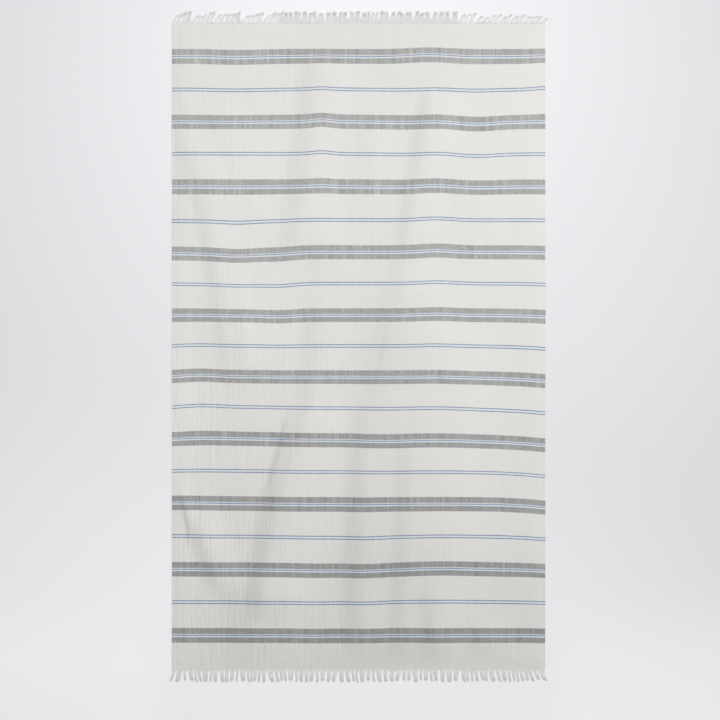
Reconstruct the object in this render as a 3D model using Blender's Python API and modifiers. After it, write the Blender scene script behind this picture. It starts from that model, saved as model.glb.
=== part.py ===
"""A flat-woven cotton beach towel, laid out flat with a few soft folds left in it.

The towel lies on its surface with X across the cloth, Y along it and Z up. The origin is under the
middle of the towel, on the surface. It is three pieces: the woven cloth, and at each end the row of
fringe locks, which are the cloth's own warp yarns left loose beyond the last weft.
"""

import math
import random

import bpy
from mathutils import Matrix

MM = 0.001

# Driving sizes, in metres
CLOTH_WIDTH = 1.000  # selvedge to selvedge
CLOTH_LENGTH = 1.730  # ten repeats of the woven stripes, without the fringe
CLOTH_THICK = 0.0013
FRINGE_LENGTH = 0.035  # from the last weft to the longest tip
PIECE_GAP = 0.0004  # between the cloth's edge and the strip that holds the fringe

# The cloth's grid
CELLS_ACROSS = 56
CELLS_ALONG = 50
END_FLAT = 0.006  # the last of the cloth at each end lies flat
END_FADE = 0.100  # a fold dies away over this much before it

# Soft folds, in millimetres. Each is a low crest that runs along the towel on one bent line, steep on
# its left and mostly longer and gentler on its right. A fold's line goes through across_start and
# across_end and leans towards across_bend in between; it starts at along_start, nearer the far end.
FOLD_COLUMNS = "along_start along_end across_start across_bend across_end height steep gentle"
FOLDS = {
    "upper_left": (830, 200, -92, -108, -165, 6.5, 78, 120),
    "upper_middle": (640, 440, 20, 24, 30, 1.0, 36, 80),
    "upper_slope": (680, 330, 45, 30, -20, 3.0, 110, 110),
    "upper_right": (740, 150, 214, 172, 112, 5.5, 56, 110),
    "upper_far_left": (660, 300, -330, -330, -320, 2.5, 120, 110),
    "far_right": (520, 330, 272, 282, 290, 1.6, 40, 90),
    "far_left": (620, -130, -475, -352, -335, 3.6, 52, 90),
    "left_patch": (130, -130, -290, -290, -285, 3.5, 60, 160),
    "centre": (400, 120, -55, -70, -85, 2.5, 90, 110),
    "centre_left": (180, -260, -95, -105, -130, 3.5, 60, 95),
    "middle": (240, -240, 150, 107, 65, 7.5, 95, 190),
    "lower_middle": (-110, -980, 42, 8, 25, 8.5, 76, 240),
    "lower_left": (-130, -760, -112, -232, -252, 11.0, 74, 190),
    "lower_right": (-200, -980, 150, 142, 112, 4.5, 60, 180),
    "right_hump": (120, -980, 235, 235, 240, 6.0, 200, 150),
    "left_corner": (-380, -700, -450, -412, -340, 5.5, 52, 90),
    "near_left": (-560, -980, -255, -280, -285, 6.0, 100, 170),
    "near_right": (-600, -980, 212, 204, 212, 4.5, 52, 90),
    "near_spot": (-700, -900, 345, 345, 345, 6.0, 70, 90),
    "middle_crease": (90, -120, 84, 70, 46, 0.9, 10, 26),
    "left_crease": (-140, -430, -178, -204, -258, 2.1, 14, 30),
    "corner_crease": (-350, -560, -497, -436, -456, 2.5, 12, 30),
}
FOLD_FADE = 110 * MM  # a fold rises from nothing over this much of its line

# The fringe, whose yarns hang together in locks
LOCKS = 70  # at each end
PITCH_SPREAD = 0.42  # one lock's share of the width is above or below the mean by up to this
LOCK_FILL = 0.70  # the part of its share that a lock fills at its root
TIP_FILL = 0.44  # and near its tip
BLUNT = 0.55  # a lock's end is this part of its width near the tip
LOCK_GAP = 0.0012  # least space between two locks
ROOT_STRIP = 0.004  # the strip of last wefts that holds the locks
FRINGE_THICK = 0.0013
SHORTER_BY = 0.16  # the shortest lock is shorter by this share
SWING = 6  # degrees by which a lock strays from its neighbours' lean, at most
SWAY = 1.35  # a lock leaves the cloth straight and bends towards its lean with this power
LOCK_STATIONS = (0.0, 0.35, 0.7, 0.93)  # shares of a lock's length where its sides have a point

# The locks lie together in clumps. For each clump, from left to right: where it ends across the towel
# in millimetres, and how far its locks lean to the right, in degrees, at its left and right sides.
CLUMP_COLUMNS = "ends_at left_lean right_lean"
CLUMPS_FAR = [
    (-450, 42, 2), (-385, 48, 14), (-312, 46, 0), (-257, 48, 12), (-200, 44, 0), (-150, 7, -5),
    (-95, 5, -5), (-50, 7, -3), (-20, 5, -5), (15, 5, -3), (35, 3, -3), (87, 7, -7), (155, 5, -7),
    (191, 5, -3), (215, 3, -3), (268, 5, 7), (312, 40, 28), (372, 54, 38), (410, 46, 36), (440, 52, 42),
    (486, 54, 40), (500, 62, 62),
]
CLUMPS_NEAR = [
    (-459, -24, -5), (-425, 22, 12), (-380, 10, -3), (-322, 5, -3), (-248, 3, -7), (-190, 9, 0),
    (-120, 2, -3), (-60, -3, -7), (10, 7, 0), (80, 5, 3), (150, -3, -7), (205, 7, 2), (270, -2, -5),
    (330, 9, 3), (420, 7, 10), (500, 9, 25),
]

WARP_WHITE = (0.79, 0.78, 0.75, 1.0)


def clear_scene():
    """Starts from an empty scene."""
    for old in list(bpy.data.objects):
        bpy.data.objects.remove(old, do_unlink=True)


def new_collection(name):
    """A collection in the scene for the finished pieces."""
    made = bpy.data.collections.new(name)
    bpy.context.scene.collection.children.link(made)
    return made


def move_to(home, thing):
    """Puts an object in the towel's own collection."""
    for old in list(thing.users_collection):
        old.objects.unlink(thing)
    home.objects.link(thing)


def cotton(name, colour):
    """Undyed cotton yarn: matt and not metallic."""
    material = bpy.data.materials.new(name)
    material.use_nodes = True
    shader = material.node_tree.nodes["Principled BSDF"]
    shader.inputs["Base Color"].default_value = colour
    shader.inputs["Roughness"].default_value = 0.9
    shader.inputs["Metallic"].default_value = 0.0
    return material


def smooth(share):
    """0 below 0, 1 above 1, and a smooth rise between them."""
    share = min(max(share, 0.0), 1.0)
    return share * share * (3 - 2 * share)


def bent(start, bend, end, share):
    """A place on the bent line from start to end that leans towards bend."""
    rest = 1 - share
    return rest * rest * start + 2 * share * rest * bend + share * share * end


def fold_height(across, along, fold):
    """How far one fold lifts the cloth at a point."""
    row = dict(zip(FOLD_COLUMNS.split(), (value * MM for value in fold)))
    length = row["along_start"] - row["along_end"]
    share = (row["along_start"] - along) / length
    if not 0 < share < 1:
        return 0.0
    side = across - bent(row["across_start"], row["across_bend"], row["across_end"], share)
    reach = row["steep"] if side < 0 else row["gentle"]
    if abs(side) >= reach:
        return 0.0
    section = (1 + math.cos(math.pi * side / reach)) / 2
    ends = smooth(share * length / FOLD_FADE) * smooth((1 - share) * length / FOLD_FADE)
    return row["height"] * section * ends


def cloth_height(across, along):
    """The underside of the cloth above the surface it lies on."""
    before_end = smooth((CLOTH_LENGTH / 2 - END_FLAT - abs(along)) / END_FADE)
    return before_end * sum(fold_height(across, along, fold) for fold in FOLDS.values())


def make_cloth(home, material):
    """The woven sheet: a grid lifted into its folds, given its thickness upwards."""
    bpy.ops.mesh.primitive_grid_add(x_subdivisions=CELLS_ACROSS, y_subdivisions=CELLS_ALONG, size=1)
    cloth = bpy.context.object
    cloth.name = "cloth"
    cloth.data.transform(Matrix.Diagonal((CLOTH_WIDTH, CLOTH_LENGTH, 1, 1)))
    for vertex in cloth.data.vertices:
        vertex.co.z = cloth_height(vertex.co.x, vertex.co.y)
    thickness = cloth.modifiers.new("thickness", "SOLIDIFY")
    thickness.thickness = CLOTH_THICK
    thickness.offset = 1
    cloth.data.shade_smooth()
    cloth.data.set_sharp_from_angle(angle=math.radians(40))
    cloth.data.materials.append(material)
    move_to(home, cloth)
    return cloth


def lean_at(across, clumps):
    """How far to the right a lock that is rooted here leans, in degrees."""
    starts_at = -CLOTH_WIDTH / 2
    for clump in clumps:
        row = dict(zip(CLUMP_COLUMNS.split(), clump))
        if across <= row["ends_at"] * MM:
            break
        starts_at = row["ends_at"] * MM
    share = (across - starts_at) / (row["ends_at"] * MM - starts_at)
    return row["left_lean"] + (row["right_lean"] - row["left_lean"]) * smooth(share)


def fringe_locks(clumps, seed):
    """A row for each lock: its root across the towel, its width, how far out it lies, and its aim.

    The aim is the place across that the lock would reach if it were long enough to lie as far out as
    the longest one.
    """
    chance = random.Random(seed)
    shares = [1 + chance.uniform(-PITCH_SPREAD, PITCH_SPREAD) for _ in range(LOCKS)]
    shares = [share * CLOTH_WIDTH / sum(shares) for share in shares]
    rows = []
    for index, width in enumerate(shares):
        root = sum(shares[:index]) + width / 2 - CLOTH_WIDTH / 2
        lean = math.radians(lean_at(root, clumps) + chance.uniform(-SWING, SWING))
        length = FRINGE_LENGTH * (1 - chance.uniform(0, SHORTER_BY))
        aim = root + math.tan(lean) * (FRINGE_LENGTH - ROOT_STRIP)
        rows.append({"root": root, "width": width, "out": length * math.cos(lean), "aim": aim})
    reach_to_length(rows)
    keep_apart(rows)
    return rows


def reach_to_length(rows):
    """Lengthens all the locks alike until the longest one reaches the fringe's full length."""
    longest = max(row["out"] for row in rows)
    for row in rows:
        row["out"] *= FRINGE_LENGTH / longest


def keep_apart(rows):
    """Turns a lock to the right where it would touch the one on its left."""
    clear = -CLOTH_WIDTH
    for row in rows:
        half = row["width"] * TIP_FILL / 2
        row["aim"] = max(row["aim"], clear + half)
        clear = row["aim"] + half + LOCK_GAP


def lock_side(row, hand):
    """The points down one side of a lock, from its root to its blunt end."""
    points = []
    for share in (*LOCK_STATIONS, 1.0):
        out = ROOT_STRIP + (row["out"] - ROOT_STRIP) * share
        bend = ((out - ROOT_STRIP) / (FRINGE_LENGTH - ROOT_STRIP)) ** SWAY
        middle = row["root"] + (row["aim"] - row["root"]) * bend
        width = row["width"] * (LOCK_FILL + (TIP_FILL - LOCK_FILL) * share)
        if share == 1.0:
            width *= BLUNT
        points.append((middle + hand * width / 2, out))
    return points


def fringe_outline(rows):
    """The comb's outline seen from above: x across, y out from the cloth's edge."""
    half = CLOTH_WIDTH / 2
    outline = [(half, PIECE_GAP), (-half, PIECE_GAP)]
    for row in rows:
        outline += lock_side(row, -1) + lock_side(row, 1)[::-1]
    return outline


def make_fringe(name, home, material, rows, end):
    """A row of locks and the strip that holds them: one flat outline with a thickness."""
    curve = bpy.data.curves.new(name, "CURVE")
    curve.dimensions = "2D"
    curve.fill_mode = "BOTH"
    curve.extrude = FRINGE_THICK / 2
    outline = fringe_outline(rows)
    spline = curve.splines.new("POLY")
    spline.points.add(len(outline) - 1)
    for point, (across, out) in zip(spline.points, outline):
        point.co = (across, end * out, 0, 1)
    spline.use_cyclic_u = True
    fringe = bpy.data.objects.new(name, curve)
    home.objects.link(fringe)
    fringe.location = (0, end * CLOTH_LENGTH / 2, FRINGE_THICK / 2)
    curve.materials.append(material)
    return fringe


def main():
    clear_scene()
    home = new_collection("beach_towel")
    cloth_cotton = cotton("woven_cotton", WARP_WHITE)
    yarn_cotton = cotton("fringe_cotton", WARP_WHITE)
    make_cloth(home, cloth_cotton)
    far_locks = fringe_locks(CLUMPS_FAR, seed=3)
    near_locks = fringe_locks(CLUMPS_NEAR, seed=8)
    make_fringe("fringe_far", home, yarn_cotton, far_locks, end=1)
    make_fringe("fringe_near", home, yarn_cotton, near_locks, end=-1)


main()
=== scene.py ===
# %% [markdown]
# # A flat-woven beach towel, laid out flat
#
# The towel is one thin sheet of cotton in plain weave. Off-white warp yarns run its whole length and
# hang loose as a fringe beyond the first and the last weft. The weft is off-white too, with wider grey
# bands and narrow blue lines. It lies on a pale floor and still has the soft folds of a cloth that was
# folded and shaken out.
#
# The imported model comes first, as a fixed frame. It gives three nodes, `cloth`, `fringe_far` and
# `fringe_near`, at their real place and size, and each of them is replaced here by a detailed piece.

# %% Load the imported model
import math
import random

import bpy
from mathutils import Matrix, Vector, noise


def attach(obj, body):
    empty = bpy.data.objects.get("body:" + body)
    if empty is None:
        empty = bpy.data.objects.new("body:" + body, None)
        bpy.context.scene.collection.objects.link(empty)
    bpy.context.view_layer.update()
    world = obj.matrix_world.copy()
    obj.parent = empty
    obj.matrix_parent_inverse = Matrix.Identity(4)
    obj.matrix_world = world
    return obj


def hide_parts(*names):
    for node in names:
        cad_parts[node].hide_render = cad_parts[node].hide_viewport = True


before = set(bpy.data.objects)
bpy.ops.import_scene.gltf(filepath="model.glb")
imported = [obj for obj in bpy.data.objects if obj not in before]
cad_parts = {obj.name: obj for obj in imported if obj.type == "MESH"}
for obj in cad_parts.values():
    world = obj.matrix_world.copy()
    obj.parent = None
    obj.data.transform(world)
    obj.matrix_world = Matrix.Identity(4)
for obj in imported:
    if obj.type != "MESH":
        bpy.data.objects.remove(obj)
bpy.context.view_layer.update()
print("nodes:", ", ".join(sorted(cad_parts)))

# %% [markdown]
# ## The camera
#
# The photographer stood right above the towel: its sides are parallel in the picture, and its corners
# square. A camera could be fitted by eye. Here the width of floor that the picture takes in gives the
# height instead, because for a lens that looks straight down the two are in proportion.

# %% The camera, straight above the towel
MM = 0.001
LENS = 85 * MM
SENSOR = 36 * MM
SEEN_WIDTH = 1.928  # metres of floor from the left edge of the picture to the right
SEEN_MIDDLE = (3.7 * MM, -35.6 * MM)  # the middle of the picture, from the middle of the towel

camera_height = SEEN_WIDTH * LENS / SENSOR
camera_data = bpy.data.cameras.new("camera")
camera_data.lens = LENS / MM
camera_data.sensor_width = SENSOR / MM
camera = bpy.data.objects.new("camera", camera_data)
camera.location = (*SEEN_MIDDLE, camera_height)
bpy.context.scene.collection.objects.link(camera)
bpy.context.scene.camera = camera
bpy.context.scene.view_settings.view_transform = "Standard"
print(f"camera {camera_height:.3f} m above the floor")

# %% [markdown]
# ## Node trees as formulas
#
# Both materials and the fringe are node trees. A tree of sums is hard to read as a list of nodes and
# links, so two small classes turn Python's operators into nodes: `a * 2 + b` on two sockets adds the
# Math nodes that work it out. Every other node comes from the one method `node`.

# %% Two helpers for node trees
class Value:
    """One output in a node tree. Python's operators on it add Math nodes to the same tree."""

    def __init__(self, tree, socket):
        self.tree = tree
        self.socket = socket

    def output(self, name):
        """Another output of the same node."""
        return Value(self.tree, self.socket.node.outputs[name])

    def __add__(self, other):
        return self.tree.math("ADD", self, other)

    def __sub__(self, other):
        return self.tree.math("SUBTRACT", self, other)

    def __rsub__(self, other):
        return self.tree.math("SUBTRACT", other, self)

    def __mul__(self, other):
        return self.tree.math("MULTIPLY", self, other)

    def __truediv__(self, other):
        return self.tree.math("DIVIDE", self, other)

    def __pow__(self, other):
        return self.tree.math("POWER", self, other)

    def __gt__(self, other):
        return self.tree.math("GREATER_THAN", self, other)

    def __lt__(self, other):
        return self.tree.math("LESS_THAN", self, other)

    def __abs__(self):
        return self.tree.math("ABSOLUTE", self)

    __radd__ = __add__
    __rmul__ = __mul__


class Tree:
    """Adds nodes to one node tree."""

    def __init__(self, nodes, links):
        self.nodes = nodes
        self.links = links

    def node(self, kind, settings=(), sockets=(), output=0):
        """A new node: first its settings, then its sockets by name or number. Gives one output."""
        made = self.nodes.new(kind)
        for name, setting in dict(settings).items():
            setattr(made, name, setting)
        for name, value in dict(sockets).items():
            if isinstance(value, Value):
                self.links.new(value.socket, made.inputs[name])
            else:
                made.inputs[name].default_value = value
        return Value(self, made.outputs[output]) if made.outputs else None

    def math(self, operation, *values):
        return self.node("ShaderNodeMath", {"operation": operation}, enumerate(values))

    def vector(self, x, y, z=0.0):
        return self.node("ShaderNodeCombineXYZ", (), {"X": x, "Y": y, "Z": z})

    def noise(self, place, detail=2.0):
        """Soft noise between 0 and 1 that changes over about one unit of place."""
        return self.node("ShaderNodeTexNoise", (), {"Vector": place, "Scale": 1.0, "Detail": detail})

    def step(self, value, low, high):
        """0 where the value is under low, 1 where it is over high, and a smooth rise between them."""
        settings = {"interpolation_type": "SMOOTHSTEP"}
        sockets = {"Value": value, "From Min": low, "From Max": high}
        return self.node("ShaderNodeMapRange", settings, sockets)


print("helpers ready")

# %% [markdown]
# ## Materials and their colours
#
# A material is a tree that ends in a Principled shader. Only what changes over the surface is linked.
# What is the same all over, such as the roughness of dry cotton, is a number on the shader's own socket.

# %% A material as a tree
class Material(Tree):
    """A new material, with helpers for maps and colours."""

    def __init__(self, name):
        self.material = bpy.data.materials.new(name)
        self.material.use_nodes = True
        tree = self.material.node_tree
        tree.nodes.clear()
        super().__init__(tree.nodes, tree.links)

    def map(self, name):
        """The two coordinates of one of the piece's own UV maps, in millimetres."""
        place = self.node("ShaderNodeUVMap", {"uv_map": name})
        first = self.node("ShaderNodeSeparateXYZ", (), {"Vector": place}, output="X")
        return first / MM, first.output("Y") / MM

    def mix(self, share, first, second):
        """A colour between first, where the share is 0, and second, where it is 1."""
        sockets = {0: share, 6: first, 7: second}
        return self.node("ShaderNodeMix", {"data_type": "RGBA"}, sockets, output=2)

    def dim(self, colour, share):
        """The colour times a number."""
        settings = {"data_type": "RGBA", "blend_type": "MULTIPLY"}
        return self.node("ShaderNodeMix", settings, {0: 1.0, 6: colour, 7: share}, output=2)

    def finish(self, colour, relief=None, **sockets):
        """Ends the tree in a Principled shader. The relief is a height in millimetres."""
        surface = {"Base Color": colour}
        surface.update({name.replace("_", " "): value for name, value in sockets.items()})
        if relief is not None:
            surface["Normal"] = self.node("ShaderNodeBump", (), {"Height": relief, "Distance": MM})
        shader = self.node("ShaderNodeBsdfPrincipled", (), surface)
        self.node("ShaderNodeOutputMaterial", (), {"Surface": shader})
        return self.material


WARP_WHITE = (0.80, 0.79, 0.755, 1.0)
PALE_BLUE = (0.715, 0.775, 0.84, 1.0)
GREY = (0.203, 0.21, 0.211, 1.0)
BLUE = (0.06, 0.13, 0.32, 1.0)
COTTON_FINISH = {"Roughness": 0.92, "Sheen_Weight": 0.12}
print("cotton colours:", WARP_WHITE[:3], PALE_BLUE[:3], GREY[:3], BLUE[:3])

# %% [markdown]
# ## The floor
#
# The towel was photographed on a white sweep of paper that some light comes through, so even the narrow
# gaps in the fringe are bright. The floor is one large plain plane just under the cloth. Its slow changes
# in brightness could come from many lamps. A gradient on the paper itself is simpler, and leaves the
# light on the towel plain: brighter towards the near side, in a soft glow around the far end, and a
# little darker to the right and towards both sides. In the nearest strip only its middle is darker.

# %% The floor
FLOOR_SIZE = 14.0
FLOOR_DROP = 0.1 * MM  # under the cloth, so that the two surfaces never share one plane
PAPER = (0.98, 0.98, 1.0, 1.0)
PAPER_GLOW = 0.15  # the light that comes through it
PAPER_LEVEL = 0.65  # the share of the light on it that it gives back beside the towel
RIGHT_DIM = 0.03  # less by this much for each metre to the right
SIDE_DIM = 0.06  # less by this much a metre out on either side, and more so further out
NEAR_GAIN = 0.195  # more by this much at the near side
NEAR_SLANT = 0.2  # that gain starts this much nearer for each metre to the right
GLOW_GAIN = 0.08  # more by this much in the middle of the glow
GLOW_ALONG = 0.95  # metres from the middle of the towel to the middle of the glow
BELOW_DIM = 0.042  # less by this much below the middle of the near end

# Where each change starts and where it ends, in metres
NEAR_RISE = (0.1, 1.1)
GLOW_REACH = (1.0, 0.0)
NEAREST = (-0.88, -0.60)
BELOW_TOWEL = (0.62, 0.45)

bpy.ops.mesh.primitive_plane_add(size=FLOOR_SIZE, location=(0, 0, -FLOOR_DROP))
floor = bpy.context.object
floor.name = "floor"
paper = Material("paper")
on_floor = paper.node("ShaderNodeTexCoord", output="Object")
to_right = paper.node("ShaderNodeSeparateXYZ", (), {"Vector": on_floor}, output="X")
to_far = to_right.output("Y")
near_rise = paper.step(to_right * -NEAR_SLANT - to_far, *NEAR_RISE)
from_glow = to_far - GLOW_ALONG
far_glow = paper.step((to_right * to_right + from_glow * from_glow) ** 0.5, *GLOW_REACH)
before_nearest = paper.step(to_far, *NEAREST)
below_towel = paper.step(abs(to_right), *BELOW_TOWEL) * (1 - before_nearest)
# The level is painted light and shade on the paper: a rise towards the near side, a glow at the far end,
# darker sides, and a darker patch beyond the middle of the near end
level = PAPER_LEVEL - to_right * RIGHT_DIM - to_right * to_right * SIDE_DIM * before_nearest
level = level + near_rise * NEAR_GAIN + far_glow * GLOW_GAIN - below_towel * BELOW_DIM
paper_finish = {"Roughness": 0.95, "Emission_Color": PAPER, "Emission_Strength": PAPER_GLOW}
floor.data.materials.append(paper.finish(paper.dim(PAPER, level), **paper_finish))
print(f"floor {FLOOR_SIZE:.0f} m wide")

# %% [markdown]
# ## The light
#
# The folds are dark on their left flanks and bright on their right ones, yet the cloth is about as bright
# at its left side as at its right one. So the main light comes from the right and from far away, where a
# metre more or less makes no difference. The cloth is evenly bright in its far half and grows darker
# towards its near end, which takes a second soft box quite close above the far half. Its light is a
# little cooler. An even world stands for the light that the white studio throws back.

# %% The light
LIGHT_COLUMNS = "across along up width depth power red green"
LIGHTS = {
    "side_wall": (9.0, 2.5, 6.8, 5.0, 5.0, 900, 1.0, 1.0),
    "far_box": (0.0, 0.8, 2.3, 3.2, 1.0, 37, 0.97, 0.985),
}
WORLD_LEVEL = 0.21


def add_soft_box(name, row):
    """A soft light that faces the middle of the towel, from its row of the table."""
    row = dict(zip(LIGHT_COLUMNS.split(), row))
    data = bpy.data.lights.new(name, "AREA")
    data.shape = "RECTANGLE"
    data.size = row["width"]
    data.size_y = row["depth"]
    data.energy = row["power"]
    data.color = (row["red"], row["green"], 1.0)
    place = Vector((row["across"], row["along"], row["up"]))
    light = bpy.data.objects.new(name, data)
    light.location = place
    light.rotation_euler = (-place).to_track_quat("-Z", "Y").to_euler()
    bpy.context.scene.collection.objects.link(light)
    print(f"{name}: {place.length:.1f} m from the towel")


for light_name, light_row in LIGHTS.items():
    add_soft_box(light_name, light_row)
world = bpy.data.worlds.new("studio")
world.use_nodes = True
world.node_tree.nodes["Background"].inputs["Color"].default_value = (1, 1, 1, 1)
world.node_tree.nodes["Background"].inputs["Strength"].default_value = WORLD_LEVEL
bpy.context.scene.world = world

# %% [markdown]
# ## The lie of the cloth
#
# A towel that was folded and shaken out keeps low, soft folds along its length, and cotton this loose
# also crinkles. A cloth simulation could find such folds, but not these ones. They are read from the
# shading of the photograph, so each fold is a row in a short table: the line that its crest follows, its
# height, and how far it reaches on its steep left side and on its gentle right side. It is the same
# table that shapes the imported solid.

# %% The folds
CLOTH_WIDTH = 1.000
CLOTH_LENGTH = 1.730
CLOTH_THICK = 1.3 * MM
END_FLAT = 6 * MM  # the last of the cloth at each end lies flat
END_FADE = 100 * MM  # a fold dies away over this much before it
FOLD_FADE = 110 * MM  # and rises from nothing over this much of its own line
FOLD_COLUMNS = "along_start along_end across_start across_bend across_end height steep gentle"
FOLDS = {
    "upper_left": (830, 200, -92, -108, -165, 6.5, 78, 120),
    "upper_middle": (640, 440, 20, 24, 30, 1.0, 36, 80),
    "upper_slope": (680, 330, 45, 30, -20, 3.0, 110, 110),
    "upper_right": (740, 150, 214, 172, 112, 5.5, 56, 110),
    "upper_far_left": (660, 300, -330, -330, -320, 2.5, 120, 110),
    "far_right": (520, 330, 272, 282, 290, 1.6, 40, 90),
    "far_left": (620, -130, -475, -352, -335, 3.6, 52, 90),
    "left_patch": (130, -130, -290, -290, -285, 3.5, 60, 160),
    "centre": (400, 120, -55, -70, -85, 2.5, 90, 110),
    "centre_left": (180, -260, -95, -105, -130, 3.5, 60, 95),
    "middle": (240, -240, 150, 107, 65, 7.5, 95, 190),
    "lower_middle": (-110, -980, 42, 8, 25, 8.5, 76, 240),
    "lower_left": (-130, -760, -112, -232, -252, 11.0, 74, 190),
    "lower_right": (-200, -980, 150, 142, 112, 4.5, 60, 180),
    "right_hump": (120, -980, 235, 235, 240, 6.0, 200, 150),
    "left_corner": (-380, -700, -450, -412, -340, 5.5, 52, 90),
    "near_left": (-560, -980, -255, -280, -285, 6.0, 100, 170),
    "near_right": (-600, -980, 212, 204, 212, 4.5, 52, 90),
    "near_spot": (-700, -900, 345, 345, 345, 6.0, 70, 90),
    "middle_crease": (90, -120, 84, 70, 46, 0.9, 10, 26),
    "left_crease": (-140, -430, -178, -204, -258, 2.1, 14, 30),
    "corner_crease": (-350, -560, -497, -436, -456, 2.5, 12, 30),
}


def smooth(share):
    """0 below 0, 1 above 1, and a smooth rise between them."""
    share = min(max(share, 0.0), 1.0)
    return share * share * (3 - 2 * share)


def bent(start, bend, end, share):
    """A place on the bent line from start to end that leans towards bend."""
    rest = 1 - share
    return rest * rest * start + 2 * share * rest * bend + share * share * end


def fold_height(across, along, fold):
    """How far one fold lifts the cloth at a point."""
    row = dict(zip(FOLD_COLUMNS.split(), (value * MM for value in fold)))
    length = row["along_start"] - row["along_end"]
    share = (row["along_start"] - along) / length
    if not 0 < share < 1:
        return 0.0
    side = across - bent(row["across_start"], row["across_bend"], row["across_end"], share)
    reach = row["steep"] if side < 0 else row["gentle"]
    if abs(side) >= reach:
        return 0.0
    section = (1 + math.cos(math.pi * side / reach)) / 2
    ends = smooth(share * length / FOLD_FADE) * smooth((1 - share) * length / FOLD_FADE)
    return row["height"] * section * ends


def fold_lift(across, along):
    """How far all the folds together lift the cloth at a point."""
    before_end = smooth((CLOTH_LENGTH / 2 - END_FLAT - abs(along)) / END_FADE)
    return before_end * sum(fold_height(across, along, fold) for fold in FOLDS.values())


tops = {name: fold[FOLD_COLUMNS.split().index("height")] for name, fold in FOLDS.items()}
print("fold heights in millimetres:", tops)

# %% [markdown]
# Between the folds the cloth is never quite flat. Its crinkles run along the warp, are a few
# centimetres wide and under a millimetre high, and the left side and the near end have more of them.
# Noise that is stretched along the towel gives them, in three sizes, each from its own row.

# %% The crinkles
CRINKLE_COLUMNS = "across along height"
CRINKLES = {"broad": (95, 420, 0.9), "pleats": (34, 210, 0.32), "fine": (15, 110, 0.10)}
CALM_CRINKLE = 0.45  # the share of the crinkles that the calm far right of the towel keeps
FLAT_RIM = 25 * MM  # the crinkles die away within this much of the cloth's outline
SLICES_APART = 7.3  # each size of crinkle reads another slice of the noise


def rim_share(across, along, reach):
    """1 on the cloth's outline, 0 further than reach inside it."""
    inside = min(CLOTH_WIDTH / 2 - abs(across), CLOTH_LENGTH / 2 - abs(along))
    return smooth(1 - inside / reach)


def crinkle_lift(across, along):
    """How far the crinkles lift the cloth at a point."""
    left = smooth(0.5 - across / CLOTH_WIDTH)
    near = smooth(0.5 - along / CLOTH_LENGTH)
    strength = CALM_CRINKLE + (1 - CALM_CRINKLE) * max(left, near)
    strength *= 1 - rim_share(across, along, FLAT_RIM)
    lift = 0.0
    for order, row in enumerate(CRINKLES.values()):
        size = dict(zip(CRINKLE_COLUMNS.split(), (value * MM for value in row)))
        place = (across / size["across"], along / size["along"], SLICES_APART * order)
        wave = noise.noise(Vector(place))
        lift += size["height"] * (0.5 + 0.5 * wave)
    return lift * strength


print(f"crinkles at the middle: {crinkle_lift(0, 0) / MM:.2f} mm")

# %% [markdown]
# ## Where the stripes run
#
# Each weft yarn crosses the towel from selvedge to selvedge, but not quite straight: the beat of the
# loom varies, and the loose cloth was pulled here and there when it was spread out. The outline stays
# straight, and the stripes sway inside it. That is a matter for the cloth's own UV map, which says where
# on the loom each point was woven. It is in metres, with the warp up and the weft across. The slow drift
# is a table of places along the towel, and each pull is a soft bump in the map.

# %% The sway of the stripes
DRIFT = {865: 3, 690: -1, 500: -1, 300: -6.5, 120: -3, 0: 2, -170: 8, -400: 10.5, -600: 7.5, -865: 2}
PULL_COLUMNS = "across along reach_across reach_along towards_near"
PULLS = [
    (-323, 768, 80, 120, 2.7), (-318, 245, 70, 130, 7.5), (-98, 567, 32, 150, -4.5),
    (210, 312, 60, 330, -4.8), (320, 567, 60, 130, 4.3), (-425, -116, 60, 130, -4.8),
    (500, -250, 90, 300, 9.5), (4, -571, 80, 150, 4), (218, -611, 100, 130, -4),
    (-470, -430, 100, 120, -2.5), (500, 700, 40, 90, -4), (-420, 270, 150, 110, 4.5),
    (-216, 170, 55, 150, 6), (230, 560, 220, 170, 3.6), (186, 778, 75, 60, -4.7),
    (-358, -223, 160, 150, -4.2), (70, -250, 80, 90, 3), (379, -196, 110, 180, 4.6),
    (505, -260, 30, 480, 3.5), (-117, -652, 65, 190, 2.8), (110, -732, 50, 100, -1.8),
    (-339, 634, 150, 70, 1.9),
]
WARP_SWAY = 1.5 * MM  # the warp sways sideways by up to this
SWAY_ACROSS = 0.12  # metres over which that changes
SWAY_ALONG = 0.45
SWAY_SLICE = 31  # of the noise


def drift(along):
    """How far towards the far end the stripes have drifted at a place along the towel."""
    places = sorted(place * MM for place in DRIFT)
    along = min(max(along, places[0]), places[-1])
    for low, high in zip(places, places[1:]):
        if along <= high:
            break
    shifts = [DRIFT[round(place / MM)] * MM for place in (low, high)]
    return shifts[0] + (shifts[1] - shifts[0]) * smooth((along - low) / (high - low))


def pulled(across, along):
    """How far towards the near end the cloth was pulled at a point."""
    total = 0.0
    for pull in PULLS:
        row = dict(zip(PULL_COLUMNS.split(), (value * MM for value in pull)))
        away = ((across - row["across"]) / row["reach_across"]) ** 2
        away += ((along - row["along"]) / row["reach_along"]) ** 2
        total += row["towards_near"] * math.exp(-away)
    return total


def on_the_loom(across, along):
    """Where a point of the cloth was woven."""
    sway = WARP_SWAY * noise.noise(Vector((across / SWAY_ACROSS, along / SWAY_ALONG, SWAY_SLICE)))
    return across + sway, along - drift(along) + pulled(across, along)


print("a point of the middle was woven at", [round(place / MM, 1) for place in on_the_loom(0, 0)], "mm")

# %% [markdown]
# ## The cloth
#
# The real cloth is half a millimetre of yarn. The piece is a closed sheet with a top, an underside and a
# rounded rim, which is how the weft turns back at a selvedge. Solidify could give the thickness, but it
# leaves a square rim, and one UV map for both sides. So the loops below lay out the three parts
# themselves, and the bake map gives each its own place: the top first, as large as it will go.

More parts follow.
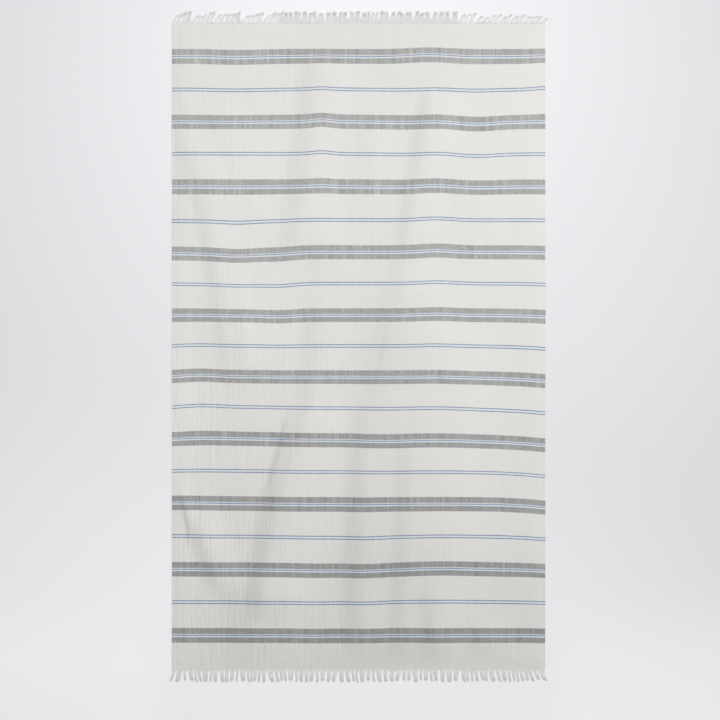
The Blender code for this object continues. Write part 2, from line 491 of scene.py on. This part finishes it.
# %% Points of the cloth
CELLS_ACROSS = 320
CELLS_ALONG = 150
RIM_ROUND = 0.3 * MM
RIM_THICK = 0.5 * MM  # a single layer of yarns
THIN_WITHIN = 45 * MM  # the sheet thins to that over this much
EDGE_WANDER = 0.9 * MM  # the selvedges and the end wefts are straight to within this
EDGE_REACH = 30 * MM  # that unevenness is gone this far inside the cloth
SIDE_RIPPLE = 0.07  # metres over which a selvedge strays one way and back
END_RIPPLE = 0.06
SIDE_SLICE = 11  # of the noise
END_SLICE = 17
RIM_ANGLE = math.radians(25)  # the shading breaks where the sheet turns over its rim
CORNERS = ((0, 0), (CELLS_ACROSS, 0), (CELLS_ACROSS, CELLS_ALONG), (0, CELLS_ALONG))


def flat_place(i, j, inset=0.0):
    """Where a point of the grid lies across and along, kept a little inside the cloth's outline."""
    half_width, half_length = CLOTH_WIDTH / 2 - inset, CLOTH_LENGTH / 2 - inset
    across = CLOTH_WIDTH * (i / CELLS_ACROSS - 0.5)
    along = CLOTH_LENGTH * (j / CELLS_ALONG - 0.5)
    return max(-half_width, min(across, half_width)), max(-half_length, min(along, half_length))


def wander(across, along):
    """The small uneven line of the selvedges and of the end wefts."""
    at_side = smooth(1 - (CLOTH_WIDTH / 2 - abs(across)) / EDGE_REACH)
    at_end = smooth(1 - (CLOTH_LENGTH / 2 - abs(along)) / EDGE_REACH)
    side_noise = noise.noise(Vector((along / SIDE_RIPPLE, across, SIDE_SLICE)))
    end_noise = noise.noise(Vector((across / END_RIPPLE, along, END_SLICE)))
    return EDGE_WANDER * at_side * side_noise, EDGE_WANDER * at_end * end_noise


def cloth_point(i, j, depth, inset=0.0):
    """A point of the cloth; depth is 0 on its underside and 1 on its top."""
    across, along = flat_place(i, j, inset)
    sideways, lengthways = wander(across, along)
    thickness = CLOTH_THICK + (RIM_THICK - CLOTH_THICK) * rim_share(across, along, THIN_WITHIN)
    height = fold_lift(across, along) + crinkle_lift(across, along) + depth * thickness
    return across + sideways, along + lengthways, height


grid = [(i, j) for j in range(CELLS_ALONG + 1) for i in range(CELLS_ACROSS + 1)]
under_points = [cloth_point(i, j, 0, RIM_ROUND) for i, j in grid]
top_points = [cloth_point(i, j, 1, RIM_ROUND) for i, j in grid]
print(f"{len(grid)} points a side, {max(point[2] for point in top_points) / MM:.1f} mm high")

# %% Faces of the cloth, and where each lies on the bake map
BAKE_PIXELS = 1024
TOP_LENGTH = 1000  # pixels that the towel's length takes on the map
UNDER_LENGTH = 690
MAP_GAP = 8  # pixels between two parts
RIM_WIDTH = 10  # pixels from the rim's lower edge to its middle, and from there to its upper one


def on_map(i, j, start, length):
    """A grid point's place on the bake map, for a side of the cloth that starts at this pixel."""
    pixels = length / CLOTH_LENGTH
    return (
        (start + i / CELLS_ACROSS * CLOTH_WIDTH * pixels) / BAKE_PIXELS,
        (MAP_GAP + j / CELLS_ALONG * CLOTH_LENGTH * pixels) / BAKE_PIXELS,
    )


def index(i, j):
    return j * (CELLS_ACROSS + 1) + i


def side_walk(side):
    """The grid's points along one side, from corner to corner, the near side first."""
    (i, j), (next_i, next_j) = CORNERS[side], CORNERS[(side + 1) % 4]
    steps = max(abs(next_i - i), abs(next_j - j))
    return [
        (i + (next_i - i) * step // steps, j + (next_j - j) * step // steps) for step in range(steps + 1)
    ]


under_start = 2 * MAP_GAP + TOP_LENGTH * CLOTH_WIDTH / CLOTH_LENGTH
rim_start = 2 * MAP_GAP + UNDER_LENGTH
rim_length = BAKE_PIXELS - MAP_GAP - under_start
points = under_points + top_points
faces, places = [], []
for j in range(CELLS_ALONG):
    for i in range(CELLS_ACROSS):
        ring = [(i, j), (i + 1, j), (i + 1, j + 1), (i, j + 1)]
        faces.append([len(grid) + index(*corner) for corner in ring])
        places += [on_map(*corner, MAP_GAP, TOP_LENGTH) for corner in ring]
        faces.append([index(*corner) for corner in reversed(ring)])
        places += [on_map(*corner, under_start, UNDER_LENGTH) for corner in reversed(ring)]

rim = [corner for side in range(4) for corner in side_walk(side)[:-1]]
rim_index = {corner: len(points) + place for place, corner in enumerate(rim)}
points += [cloth_point(i, j, 0.5) for i, j in rim]
for side in range(4):
    walk = side_walk(side)
    strip = rim_start + side * (2 * RIM_WIDTH + MAP_GAP)
    for step, (here, there) in enumerate(zip(walk, walk[1:])):
        left, right = (
            (under_start + rim_length * (step + end) / (len(walk) - 1)) / BAKE_PIXELS for end in (0, 1)
        )
        low, middle, high = ((strip + level * RIM_WIDTH) / BAKE_PIXELS for level in range(3))
        faces.append([index(*here), index(*there), rim_index[there], rim_index[here]])
        places += [(left, low), (right, low), (right, middle), (left, middle)]
        faces.append(
            [rim_index[here], rim_index[there], len(grid) + index(*there), len(grid) + index(*here)]
        )
        places += [(left, middle), (right, middle), (right, high), (left, high)]
print(f"{len(faces)} faces")

# %% The cloth as a mesh with its two maps
def add_map(mesh, name, places):
    """A UV map from a list with one place for each corner of each face."""
    made = mesh.uv_layers.new(name=name)
    made.data.foreach_set("uv", [number for place in places for number in place])


def place_in_scene(name, mesh):
    """A piece whose object sits at the origin, in the scene."""
    piece = bpy.data.objects.new(name, mesh)
    bpy.context.scene.collection.objects.link(piece)
    return piece


cloth_mesh = bpy.data.meshes.new("cloth_woven")
cloth_mesh.from_pydata(points, [], faces)
woven_at = [on_the_loom(*flat_place(i, j)) for i, j in grid + grid + rim]
corner_points = [point for face in faces for point in face]
add_map(cloth_mesh, "weave", [woven_at[point] for point in corner_points])
add_map(cloth_mesh, "OFBake", places)
cloth_mesh.shade_smooth()
cloth_mesh.set_sharp_from_angle(angle=RIM_ANGLE)
cloth = place_in_scene("cloth_woven", cloth_mesh)
print(f"{cloth.name}: {len(cloth_mesh.polygons)} faces, {len(cloth_mesh.vertices)} points")

# %% [markdown]
# ## The weave
#
# In plain weave each warp yarn passes over one weft yarn and under the next. Two sine waves give just
# that: their product is positive where the warp is on top, negative where the weft is, and zero in the
# small gaps between. A picture of a weave could be used, but the formula stays sharp at any distance and
# knows which yarn it is on, so each yarn gets its own tone and the weft its own colour.
#
# The stripes are counted in weft yarns, as a weaver does. A repeat has 144 of them. A heavy stripe is
# two blue yarns in a pale core between two grey bands, and a fine one is a pair of blue lines with pale
# yarns between. Seen from a metre or more, a coloured yarn never gives its full colour, because the
# off-white warp covers nearly half of it.

# %% The woven cotton
WARP_PITCH = 1.1  # millimetres, like the other sizes of the weave
REPEAT = 144  # weft yarns
WEFT_PITCH = 172.5 / REPEAT  # ten repeats fill the towel's length
BLUE_CORE = 1  # heavy stripe: yarns from its middle to the edge of the blue line
PALE_CORE = 4  # a yarn less on its far side
GREY_EDGE = 16
FINE_INSIDE = 2  # fine stripe: yarns from its middle to the inside of a blue line
FINE_OUTSIDE = 4
FINE_ENDS = 830  # no fine stripe further than this from the middle of the towel
BLUE_COVER = 0.3  # the blue yarn is thicker and hides this share of the warp that crosses it
NEAR_SHADE_BLUE = 0.5  # towards the near end, less of that by this share
WARP_STRAY = 0.22  # a yarn strays from its line by up to about this
WEFT_STRAY = 0.16
STREAK_OVER = 0.4  # how far a streak lifts or sinks the warp, in heights of the wave
NEAR_SHADE_OVER = 0.26  # how far the painted shade towards the near end sinks it
WARP_SHOWS = (0.02, 0.30)  # the wave's heights where the warp begins to show, and where all of it does

woven = Material("woven_cotton")
across, along = woven.map("weave")


def cloud(size_across, size_along, seed, detail=2.0):
    """Noise over the cloth with features of this size in millimetres, from about -1 to 1."""
    place = woven.vector(across / size_across, along / size_along, seed)
    return woven.noise(place, detail) * 4 - 2


# Yarns wander a little between their neighbours
warp_line = (across + cloud(9, 70, 1) * WARP_STRAY) / WARP_PITCH
weft_line = (along + cloud(70, 9, 2) * WEFT_STRAY) / WEFT_PITCH
warp_yarn = woven.math("FLOOR", warp_line)
weft_yarn = woven.math("FLOOR", weft_line)
wave = woven.math("SINE", warp_line * math.pi) * woven.math("SINE", weft_line * math.pi)

# Streaks: warp yarns that lie denser or looser for a while. Towards the near end the weft covers more of
# the warp, so the grey bands grow deeper there: painted shade.
streak = cloud(3.4, 90, 3) * 0.6 + cloud(14, 330, 4) * 0.4
near_shade = woven.step(along * -1, -500, 900)
warp_over = woven.step(wave + streak * STREAK_OVER - near_shade * NEAR_SHADE_OVER, *WARP_SHOWS)
print("weave of", round(CLOTH_WIDTH / MM / WARP_PITCH), "warp yarns")

# %% The stripes, counted in weft yarns
COUNT_FROM = 10 * REPEAT + 0.5  # keeps the count above zero all over the towel, and a yarn's middle on it

heavy_place = woven.math("MODULO", weft_yarn + COUNT_FROM, REPEAT) - REPEAT / 2
from_heavy = abs(heavy_place)
from_fine = REPEAT / 2 - from_heavy
has_fine = abs(along) < FINE_ENDS
heavy_blue = from_heavy < BLUE_CORE
fine_blue = (from_fine < FINE_OUTSIDE) * (from_fine > FINE_INSIDE) * has_fine
blue = woven.math("MAXIMUM", heavy_blue, fine_blue)
heavy_pale = (heavy_place > -PALE_CORE) * (heavy_place < PALE_CORE - 1)
pale = woven.math("MAXIMUM", heavy_pale, (from_fine < FINE_INSIDE) * has_fine)
grey = from_heavy < GREY_EDGE

weft_colour = woven.mix(grey, WARP_WHITE, GREY)
weft_colour = woven.mix(pale, weft_colour, PALE_BLUE)
weft_colour = woven.mix(blue, weft_colour, BLUE)
warp_over = warp_over * (1 - blue * (1 - near_shade * NEAR_SHADE_BLUE) * BLUE_COVER)
print("one repeat is", round(REPEAT * WEFT_PITCH, 1), "mm")

# %% The tone of each yarn
# Painted shade darkens the gaps between the yarns, and painted light brightens the top of each yarn
GAP_SHADE_TONE = 0.79  # between the yarns
ROUND_LIGHT_TONE = 0.17  # added to that on top of a yarn
YARN_TONES = 0.16  # from the darkest yarn to the lightest
STREAK_TONE = 0.012
YARNS_APART = 3.7  # neighbours lie this far apart in the noise, so that their tones differ

warp_tone = woven.noise(woven.vector(warp_yarn * YARNS_APART, along / 38, 5), detail=1)
weft_tone = woven.noise(woven.vector(across / 46, weft_yarn * YARNS_APART, 6), detail=1)
yarn_tone = weft_tone + (warp_tone - weft_tone) * warp_over
roundness = abs(wave) ** 0.5
tone = GAP_SHADE_TONE + ROUND_LIGHT_TONE * roundness + (yarn_tone - 0.5) * YARN_TONES + streak * STREAK_TONE

# Painted light and shade: the cotton is a little darker down its middle and at its near right corner,
# and lighter at its near left side and left selvedge
MIDDLE_SHADE_LEVEL = 0.97
PAINTED_LIGHT_TONES = {"off_middle": 0.03, "near_left": 0.03, "left_selvedge": 0.04, "near_right": -0.03}
painted_light_areas = {
    "off_middle": woven.step(abs(across - 60), 60, 330),
    "near_left": woven.step(across * -1, 330, 430) * woven.step(along * -1, -80, 120),
    "left_selvedge": woven.step(across * -1, 420, 470) * woven.step(along * -1, -340, -230),
    "near_right": woven.step(across + (along + 620) * 1.4, -60, 100) * woven.step(along * -1, 480, 640),
}
painted_light = MIDDLE_SHADE_LEVEL
for area, covered in painted_light_areas.items():
    painted_light = painted_light + covered * PAINTED_LIGHT_TONES[area]
colour = woven.dim(woven.mix(warp_over, weft_colour, WARP_WHITE), tone * painted_light)
print("tones of the washed cotton:", PAINTED_LIGHT_TONES)

# %% The relief of the cloth
YARN_RELIEF = 0.08  # millimetres, as are the next three
NARROW_PLEATS = 0.11
WIDE_PLEATS = 0.24
WEFT_RIPPLES = 0.03
CRINKLED = {"all_over": 0.2, "left": 0.45, "near": 0.2, "near_left": 0.35}  # the shares of the pleats there
PATCH_LEAST = 0.25  # a calm patch keeps this share of them
PATCH_RANGE = 1.5  # and a crinkled one has this much more

at_left = woven.step(across * -1, -300, 480)
at_near = woven.step(along * -1, -300, 600)
near_share = CRINKLED["near"] + at_left * CRINKLED["near_left"]
crinkled = CRINKLED["all_over"] + at_left * CRINKLED["left"] + at_near * near_share
patches = woven.step(cloud(75, 160, 9), -1.2, 1.2) * PATCH_RANGE + PATCH_LEAST
pleats = cloud(3.2, 55, 7) * NARROW_PLEATS + cloud(9, 110, 10) * WIDE_PLEATS
relief = roundness * YARN_RELIEF + pleats * crinkled * patches + cloud(38, 9, 8) * WEFT_RIPPLES
cloth_mesh.materials.append(woven.finish(colour, relief, **COTTON_FINISH))
print("woven_cotton has", len(woven.nodes), "nodes")

# %% [markdown]
# ## The fringe
#
# The fringe isn't a trim: it is the cloth's own warp, left loose beyond the last weft. Its yarns cling
# together in small locks, and the locks lean together in clumps, most of all on the far right, where the
# towel was smoothed down sideways. The lines of the locks come from the same tables and the same chance
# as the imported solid, so that each lock of yarns lies where its solid does.

# %% The locks
FRINGE_LENGTH = 0.035
LOCKS = 70  # at each end
PITCH_SPREAD = 0.42  # a lock's share of the edge is more or less than the average by up to this much of it
LOCK_FILL = 0.70  # the part of its share that a lock covers near its root
TIP_FILL = 0.44  # and at its tip
LOCK_GAP = 1.2 * MM  # the least space between two tips
ROOT_STRIP = 4 * MM  # the locks point straight out for this long
SHORTER_BY = 0.16  # a lock is shorter than the whole length by up to this share
SWING = 6  # degrees between a lock's lean and its clump's, at most
SWAY = 1.35  # above 1, a lock leans more towards its tip
CLUMP_COLUMNS = "ends_at left_lean right_lean"
CLUMPS_FAR = [
    (-450, 42, 2), (-385, 48, 14), (-312, 46, 0), (-257, 48, 12), (-200, 44, 0), (-150, 7, -5),
    (-95, 5, -5), (-50, 7, -3), (-20, 5, -5), (15, 5, -3), (35, 3, -3), (87, 7, -7), (155, 5, -7),
    (191, 5, -3), (215, 3, -3), (268, 5, 7), (312, 40, 28), (372, 54, 38), (410, 46, 36), (440, 52, 42),
    (486, 54, 40), (500, 62, 62),
]
CLUMPS_NEAR = [
    (-459, -24, -5), (-425, 22, 12), (-380, 10, -3), (-322, 5, -3), (-248, 3, -7), (-190, 9, 0),
    (-120, 2, -3), (-60, -3, -7), (10, 7, 0), (80, 5, 3), (150, -3, -7), (205, 7, 2), (270, -2, -5),
    (330, 9, 3), (420, 7, 10), (500, 9, 25),
]


def lean_at(across, clumps):
    """How far to the right a lock that is rooted here leans, in degrees."""
    starts_at = -CLOTH_WIDTH / 2
    for clump in clumps:
        row = dict(zip(CLUMP_COLUMNS.split(), clump))
        if across <= row["ends_at"] * MM:
            break
        starts_at = row["ends_at"] * MM
    share = (across - starts_at) / (row["ends_at"] * MM - starts_at)
    return row["left_lean"] + (row["right_lean"] - row["left_lean"]) * smooth(share)


def fringe_locks(clumps, seed):
    """A row for each lock: its root across the towel, its width, how far out it lies, and its aim."""
    chance = random.Random(seed)
    shares = [1 + chance.uniform(-PITCH_SPREAD, PITCH_SPREAD) for _ in range(LOCKS)]
    shares = [share * CLOTH_WIDTH / sum(shares) for share in shares]
    rows = []
    for place, width in enumerate(shares):
        root = sum(shares[:place]) + width / 2 - CLOTH_WIDTH / 2
        lean = math.radians(lean_at(root, clumps) + chance.uniform(-SWING, SWING))
        length = FRINGE_LENGTH * (1 - chance.uniform(0, SHORTER_BY))
        aim = root + math.tan(lean) * (FRINGE_LENGTH - ROOT_STRIP)
        rows.append({"root": root, "width": width, "out": length * math.cos(lean), "aim": aim})
    longest = max(row["out"] for row in rows)
    clear = -CLOTH_WIDTH
    for row in rows:
        row["out"] *= FRINGE_LENGTH / longest
        half = row["width"] * TIP_FILL / 2
        row["aim"] = max(row["aim"], clear + half)
        clear = row["aim"] + half + LOCK_GAP
    return rows


locks = {"far": fringe_locks(CLUMPS_FAR, seed=3), "near": fringe_locks(CLUMPS_NEAR, seed=8)}
print({end: len(rows) for end, rows in locks.items()}, "locks")

# %% [markdown]
# ### From locks to yarns
#
# Hundreds of yarns could be drawn one by one. Geometry Nodes do it with one rule: each lock is a line of
# points, the tree copies it once for each of its yarns, spreads the copies over the lock's width, lets
# them wander, cuts them to uneven lengths and sweeps a small circle along each. So Python makes only
# the lines. Each point of a line also carries how many yarns the lock has, how dark their tips are and
# how wide the lock is there: as wide as its share of the cloth at the root, where the yarns leave the
# weave, and narrower once they cling together.

# %% The lines that the yarns follow
ROOT_DEPTH = 2 * MM  # the yarns start this far inside the edge of the cloth
YARN_RADIUS = 0.5 * MM
STATIONS = (0.0, 0.12, 0.25, 0.45, 0.7, 1.0)  # of a lock's length beyond the root
GATHER = {"near": 3 * MM, "far": 7 * MM, "far_upright": 32 * MM}  # the yarns cling from here on
PAINTED_TIP_SHADE = {"near": 0.10, "far": 0.07, "far_upright": 0.17}  # the tips are darker by this, a painted shade
UPRIGHT = 9 * MM  # an upright lock strays less than this from its root
LOCK_WAVE = 3 * MM  # a lock waves to either side by up to this
WAVE_LENGTH = 16 * MM
WAVE_RISE = 10 * MM  # the wave grows from nothing over this much of the lock
WAVES_APART = 11 * MM  # locks further from each other than this don't wave alike
FIRST_STATION = 0.5 * MM  # beyond the root


def lock_kind(row, end):
    """The kind of lock, as in the tables above."""
    if end < 0:
        return "near"
    return "far_upright" if abs(row["aim"] - row["root"]) < UPRIGHT else "far"


def lock_wave(row, out, end):
    """How far to the right a lock's own wave carries it at a place along it."""
    wave = noise.noise(Vector((row["root"] / WAVES_APART, out / WAVE_LENGTH, 5 * end)))
    return LOCK_WAVE * wave * smooth(out / WAVE_RISE)


def lock_line(row, end):
    """The points along the middle of a lock and the lock's width at each."""
    beyond = [FIRST_STATION + (row["out"] - FIRST_STATION) * share for share in STATIONS]
    for out in [-ROOT_DEPTH, 0.0] + beyond:
        bend = (max(out - ROOT_STRIP, 0) / (FRINGE_LENGTH - ROOT_STRIP)) ** SWAY
        across = row["root"] + (row["aim"] - row["root"]) * bend + lock_wave(row, out, end)
        held = smooth(out / GATHER[lock_kind(row, end)])
        tip = max(out, 0) / row["out"]
        fill = 1 + (LOCK_FILL + (TIP_FILL - LOCK_FILL) * tip - 1) * held
        yield (across, end * (CLOTH_LENGTH / 2 + out), 0.0), row["width"] * fill


def lock_lines(name, rows, end):
    """A mesh of loose edges, one line for each lock, whose points know their lock's width and yarns."""
    points, edges, widths, yarns, shades = [], [], [], [], []
    for row in rows:
        for place, (point, width) in enumerate(lock_line(row, end)):
            if place:
                edges.append((len(points) - 1, len(points)))
            points.append(point)
            widths.append(width)
            yarns.append(round(row["width"] / MM / WARP_PITCH))
            shades.append(PAINTED_TIP_SHADE[lock_kind(row, end)])
    mesh = bpy.data.meshes.new(name)
    mesh.from_pydata(points, edges, [])
    mesh.attributes.new("lock_width", "FLOAT", "POINT").data.foreach_set("value", widths)
    mesh.attributes.new("painted_tip_shade", "FLOAT", "POINT").data.foreach_set("value", shades)
    mesh.attributes.new("yarns", "INT", "POINT").data.foreach_set("value", yarns)
    return place_in_scene(name, mesh)


fringe_far = lock_lines("fringe_far_yarns", locks["far"], 1)
fringe_near = lock_lines("fringe_near_yarns", locks["near"], -1)
print(len(fringe_far.data.edges), "edges at the far end")

# %% The tree that makes yarns
class GeometryTree(Tree):
    """A Geometry Nodes group with named inputs."""

    def __init__(self, name, inputs):
        self.group = bpy.data.node_groups.new(name, "GeometryNodeTree")
        face = self.group.interface
        face.new_socket(name="Geometry", in_out="OUTPUT", socket_type="NodeSocketGeometry")
        made = [
            face.new_socket(name=title, in_out="INPUT", socket_type=f"NodeSocket{kind}")
            for title, kind in inputs.items()
        ]
        self.identifiers = {socket.name: socket.identifier for socket in made}
        super().__init__(self.group.nodes, self.group.links)
        self.start = self.node("NodeGroupInput")

    def attribute(self, name, kind="FLOAT"):
        return self.node("GeometryNodeInputNamedAttribute", {"data_type": kind}, {"Name": name})

    def keep(self, geometry, name, value):
        """Stores a number for each curve under a name."""
        settings = {"data_type": "FLOAT", "domain": "CURVE"}
        sockets = {"Geometry": geometry, "Name": name, "Value": value}
        return self.node("GeometryNodeStoreNamedAttribute", settings, sockets)

    def chance(self, seed):
        """A number between 0 and 1 for each element."""
        return self.node("FunctionNodeRandomValue", {"data_type": "FLOAT"}, {"Seed": seed}, output=1)


INPUTS = {
    "Geometry": "Geometry", "Radius": "Float", "Sides": "Int", "Points": "Int", "Wander": "Float",
    "Lift": "Float", "Uneven": "Float", "Curl": "Float", "Seed": "Int", "Material": "Material",
}
yarn = GeometryTree("loose_yarns", INPUTS)
start = yarn.start
lines = yarn.node("GeometryNodeMeshToCurve", (), {"Mesh": start})
copied = yarn.node(
    "GeometryNodeDuplicateElements",
    {"domain": "SPLINE"},
    {"Geometry": lines, "Amount": yarn.attribute("yarns", "INT")},
)
place = (copied.output("Duplicate Index") + 0.5) / yarn.attribute("yarns") - 0.5
curves = yarn.keep(copied, "place", place)
curves = yarn.keep(curves, "chance", yarn.chance(start.output("Seed")))
curves = yarn.keep(curves, "turn", yarn.chance(start.output("Seed") + 1))
curves = yarn.keep(curves, "length_cut", yarn.chance(start.output("Seed") + 2))
cut = 1 - yarn.attribute("length_cut") * start.output("Uneven")
curves = yarn.node("GeometryNodeTrimCurve", {"mode": "FACTOR"}, {"Curve": curves, "End": cut})
curves = yarn.node("GeometryNodeResampleCurve", (), {"Curve": curves, "Count": start.output("Points")})
print("yarn tree:", len(yarn.nodes), "nodes so far")

# %% Spread, wander and curl
FREE_FROM = (0.06, 0.55)  # the shares of a yarn's length where it begins to wander, and where it is free
TIP_FROM = (0.72, 1.0)  # where its tip begins, and where it ends
TIP_THINNER = 0.35  # by this share
CURL_LIFT = 0.5  # a tip rises by this share of its curl
YARN_NOISE = 61  # how far the yarns are spread through the noise

along_yarn = yarn.node("GeometryNodeSplineParameter")
free = yarn.step(along_yarn, *FREE_FROM)
tip = yarn.step(along_yarn, *TIP_FROM)
own = yarn.attribute("chance") * YARN_NOISE
drifting = yarn.noise(yarn.vector(own, along_yarn * 2.2, start.output("Seed")), detail=1) * 2 - 1
lifting = yarn.noise(yarn.vector(own, along_yarn * 1.6, 50), detail=1)
turn = yarn.attribute("turn") * 2 * math.pi
spread = yarn.attribute("place") * yarn.attribute("lock_width")
curl = tip * start.output("Curl") * yarn.attribute("chance")
sideways = spread + drifting * free * start.output("Wander") + yarn.math("COSINE", turn) * curl
lengthways = yarn.math("SINE", turn) * curl
height = start.output("Radius") + lifting * free * start.output("Lift") + curl * CURL_LIFT
offset = yarn.vector(sideways, lengthways, height)
curves = yarn.node("GeometryNodeSetPosition", (), {"Geometry": curves, "Offset": offset})

section = yarn.node(
    "GeometryNodeCurvePrimitiveCircle",
    (),
    {"Resolution": start.output("Sides"), "Radius": start.output("Radius")},
)
thinned = 1 - tip * TIP_THINNER
swept = {"Curve": curves, "Profile Curve": section, "Scale": thinned, "Fill Caps": True}
tubes = yarn.node("GeometryNodeCurveToMesh", (), swept)
tubes = yarn.node("GeometryNodeSetShadeSmooth", (), {"Geometry": tubes})
tubes = yarn.node("GeometryNodeRealizeInstances", (), {"Geometry": tubes})
tubes = yarn.node("GeometryNodeSetMaterial", (), {"Geometry": tubes, "Material": start.output("Material")})
yarn.node("NodeGroupOutput", (), {"Geometry": tubes})
print("yarn tree:", len(yarn.nodes), "nodes")

# %% [markdown]
# ### The yarn's finish
#
# A loose warp yarn shows the twist that the weave hides: fine slanting lines along it. The twist could
# be modelled, but at less than a millimetre across a bump does as well, read from a UV map that goes
# round the yarn and along it. Each yarn is a little lighter or darker than the next, by its own number.

# %% The loose cotton
TWIST_LENGTH = 3.2  # millimetres of yarn for one turn of its twist
PLIES = 2
# Lighter than the warp white: painted light that makes up for the shade the loose yarns cast on each other
LOOSE_LIT_WHITE = (0.875, 0.875, 0.85, 1.0)  # no gaps of a weave darken the loose yarns
LOOSE_TONE = 0.86
OWN_TONES = 0.08  # from the darkest yarn to the lightest
PLY_SHADE_TONES = 0.05
FIBRE_TONES = 0.12
TIP_SHADE_SPAN = (20, 34)  # millimetres along a yarn where its tip begins to darken, and where it is darkest
PLY_RELIEF = 0.10  # millimetres
FIBRE_RELIEF = 0.08

loose = Material("fringe_cotton")
round_yarn, along_map = loose.map("yarn")
own_number = loose.node("ShaderNodeAttribute", {"attribute_name": "chance"}, output="Fac")
turns = round_yarn * MM * PLIES + along_map / TWIST_LENGTH
ply = loose.math("SINE", turns * 2 * math.pi) * 0.5 + 0.5
fibres = loose.noise(loose.vector(round_yarn * MM * 6 + along_map * 0.5, along_map * 1.8, own_number * 50))
# Painted shade darkens the grooves between the plies of the twist
yarn_tone = LOOSE_TONE + own_number * OWN_TONES + ply * PLY_SHADE_TONES + (fibres - 0.5) * FIBRE_TONES
# Painted shade darkens the tips, by the amount that each lock carries
painted_tip_shade = loose.node("ShaderNodeAttribute", {"attribute_name": "painted_tip_shade"}, output="Fac")
yarn_colour = loose.dim(LOOSE_LIT_WHITE, yarn_tone - loose.step(along_map, *TIP_SHADE_SPAN) * painted_tip_shade)
yarn_relief = ply * PLY_RELIEF + fibres * FIBRE_RELIEF
loose_cotton = loose.finish(yarn_colour, yarn_relief, **COTTON_FINISH)
print("fringe_cotton has", len(loose.nodes), "nodes")

# %% [markdown]
# ### Making the two fringes
#
# The modifier's result is turned into a plain mesh and the modifier is removed, because the finished
# pieces are plain meshes. The sweep numbers its points ring by ring, so Python can tell from a point's
# number which yarn it belongs to and where on it, and writes both UV maps from that.

# %% Yarns from lines
YARN_SIDES = 4
YARN_POINTS = 8
SETTINGS_FAR = {"Wander": 2.2 * MM, "Lift": 1.5 * MM, "Uneven": 0.14, "Curl": 3.4 * MM, "Seed": 3}
SETTINGS_NEAR = {"Wander": 2.0 * MM, "Lift": 1.1 * MM, "Uneven": 0.12, "Curl": 1.2 * MM, "Seed": 8}


def make_yarns(piece, settings):
    """Runs the tree on a piece of lines and keeps the result as its mesh."""
    modifier = piece.modifiers.new("yarns", "NODES")
    modifier.node_group = yarn.group
    values = {"Radius": YARN_RADIUS, "Sides": YARN_SIDES, "Points": YARN_POINTS, "Material": loose_cotton}
    for name, value in {**values, **settings}.items():
        modifier[yarn.identifiers[name]] = value
    evaluated = piece.evaluated_get(bpy.context.evaluated_depsgraph_get())
    mesh = bpy.data.meshes.new_from_object(evaluated)
    piece.modifiers.remove(modifier)
    piece.data = mesh
    return len(mesh.vertices) // (YARN_SIDES * YARN_POINTS)


for piece, settings in ((fringe_far, SETTINGS_FAR), (fringe_near, SETTINGS_NEAR)):
    made = make_yarns(piece, settings)
    print(f"{piece.name}: {made} yarns, {len(piece.data.polygons)} faces")

# %% Maps for the yarns
PATCH_FILL = 0.8  # the part of its square on the bake map that a yarn fills
PATCH_MARGIN = 0.1
CAP_SIZE = 0.05  # a yarn's two ends lie in the rest of its square
CAP_ACROSS = 0.3
CAP_UP = {"root": 0.04, "tip": 0.93}


def yarn_maps(mesh):
    """Adds the map that follows each yarn, and the bake map with a square for each yarn."""
    per_yarn = YARN_SIDES * YARN_POINTS
    squares = math.ceil(math.sqrt(len(mesh.vertices) // per_yarn))
    step = FRINGE_LENGTH / (YARN_POINTS - 1)
    following, baked = [], []
    for polygon in mesh.polygons:
        corners = [divmod(point % per_yarn, YARN_SIDES) for point in polygon.vertices]
        square = divmod(polygon.vertices[0] // per_yarn, squares)
        is_cap = len({ring for ring, _ in corners}) == 1
        wraps = not is_cap and {side for _, side in corners} == {0, YARN_SIDES - 1}
        for ring, side in corners:
            turn = YARN_SIDES if wraps and side == 0 else side
            following.append((turn / YARN_SIDES, ring * step))
            if is_cap:
                angle = math.tau * side / YARN_SIDES
                across = CAP_ACROSS + CAP_SIZE * math.cos(angle)
                up = CAP_UP["root" if ring == 0 else "tip"] + CAP_SIZE / 2 * math.sin(angle)
            else:
                across = PATCH_MARGIN + PATCH_FILL * turn / YARN_SIDES
                up = PATCH_MARGIN + PATCH_FILL * ring / (YARN_POINTS - 1)
            baked.append(((square[1] + across) / squares, (square[0] + up) / squares))
    add_map(mesh, "yarn", following)
    add_map(mesh, "OFBake", baked)


for piece in (fringe_far, fringe_near):
    yarn_maps(piece.data)
    print(piece.name, "has maps", [layer.name for layer in piece.data.uv_layers])

# %% [markdown]
# ## Into the frame
#
# Each piece rides on the part's one body and stands for its node, which stays as the solid for physics.

for piece, node, slot in (
    (cloth, "cloth", "woven_cotton"),
    (fringe_far, "fringe_far", "fringe_cotton"),
    (fringe_near, "fringe_near", "fringe_cotton"),
):
    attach(piece, "root")
    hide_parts(node)
